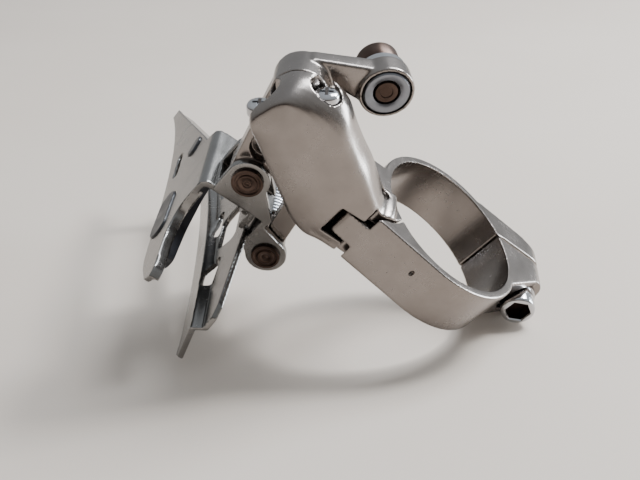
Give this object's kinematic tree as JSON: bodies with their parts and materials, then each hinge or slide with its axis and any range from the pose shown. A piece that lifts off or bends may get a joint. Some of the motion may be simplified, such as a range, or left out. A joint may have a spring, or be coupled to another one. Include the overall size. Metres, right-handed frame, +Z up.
{
  "type": "front derailleur",
  "caption": "Front derailleur with a hinged seat-tube band, forged parallelogram links, sprung steel chain cage, limit screws and cable anchor.",
  "frame": {"origin": "centre of the seat tube's bore in the clamp band, at half the band's height", "axes": "+Z up the seat tube, +X towards the front of the bicycle, +Y towards its left side; the cage hangs on the drive side at negative Y"},
  "size_m": [0.0864, 0.0778, 0.0777],
  "materials": {
    "forged_alloy": "polished forging with fine scratches",
    "cage_steel": "dull chromed sheet steel",
    "black_nylon": "smooth moulded nylon",
    "spring_steel": "bright drawn wire",
    "brown_steel": "turned steel with a brown stain of age",
    "bronze": "sintered bearing bush",
    "chrome": "bright chrome",
    "pin_steel": "plain ground steel"
  },
  "bodies": {
    "root": {"body": "forged_alloy", "band_hinge_pin": "pin_steel", "upper_outer_pin": "pin_steel", "upper_inner_pin": "pin_steel", "pin_clips": "pin_steel", "clamp_nut": "pin_steel"},
    "band": {"clamp_band": "forged_alloy", "clamp_washer": "chrome"},
    "outer_arm": {"outer_link": "forged_alloy", "upper_outer_bush": "bronze", "lower_outer_bush": "bronze", "cable_washer": "chrome", "cable_nut": "chrome"},
    "inner_arm": {"inner_link": "forged_alloy", "upper_inner_bush": "bronze", "lower_inner_bush": "bronze", "return_spring": "spring_steel"},
    "cage": {"cage_outer_plate": "cage_steel", "cage_inner_plate": "cage_steel", "cage_bracket": "cage_steel", "bracket_rivets": "cage_steel", "glide_pad": "black_nylon", "cage_spacer": "cage_steel", "cage_screw": "chrome", "lower_outer_pin": "brown_steel", "lower_inner_pin": "brown_steel", "bracket_clips": "pin_steel"},
    "clamp_screw": {"clamp_bolt": "chrome"},
    "high_screw": {"high_limit_screw": "chrome"},
    "low_screw": {"low_limit_screw": "chrome"},
    "anchor": {"cable_bolt": "brown_steel"}
  },
  "joints": [
    {"name": "shift", "type": "hinge", "parent": "root", "child": "outer_arm", "pos_m": [0, -0.0425, 0.012], "axis": [1, 0, 0], "range_deg": [-32, 0], "stiffness_Nm_per_rad": 0.25, "springref_deg": 34.38},
    {"name": "inner_follow", "type": "hinge", "parent": "root", "child": "inner_arm", "pos_m": [0, -0.0291, -0.0006], "axis": [1, 0, 0], "range_deg": [-32, 0]},
    {"name": "cage_follow", "type": "hinge", "parent": "outer_arm", "child": "cage", "pos_m": [0, -0.0387, -0.0094], "axis": [1, 0, 0], "range_deg": [0, 32]},
    {"name": "band_open", "type": "hinge", "parent": "root", "child": "band", "pos_m": [0.0064, -0.0182, 0], "axis": [0, 0, 1], "range_deg": [-8, 0]},
    {"name": "clamp_bolt_out", "type": "slide", "parent": "band", "child": "clamp_screw", "axis": [1, 0, 0], "range_m": [0, 0.0165]},
    {"name": "high_limit_out", "type": "slide", "parent": "root", "child": "high_screw", "axis": [0, -0.6184, 0.7859], "range_m": [0, 0.0015]},
    {"name": "low_limit_out", "type": "slide", "parent": "root", "child": "low_screw", "axis": [0, -0.6184, 0.7859], "range_m": [0, 0.0015]},
    {"name": "cable_bolt_out", "type": "slide", "parent": "outer_arm", "child": "anchor", "axis": [-0.9775, -0.2007, -0.0645], "range_m": [0, 0.002]}
  ],
  "couplings": [
    {"joint": "inner_follow", "follows": "shift", "ratio": 1},
    {"joint": "cage_follow", "follows": "shift", "ratio": -1},
    {"joint": "clamp_bolt_out", "follows": "band_open", "m_per_rad": -0.1165}
  ]
}
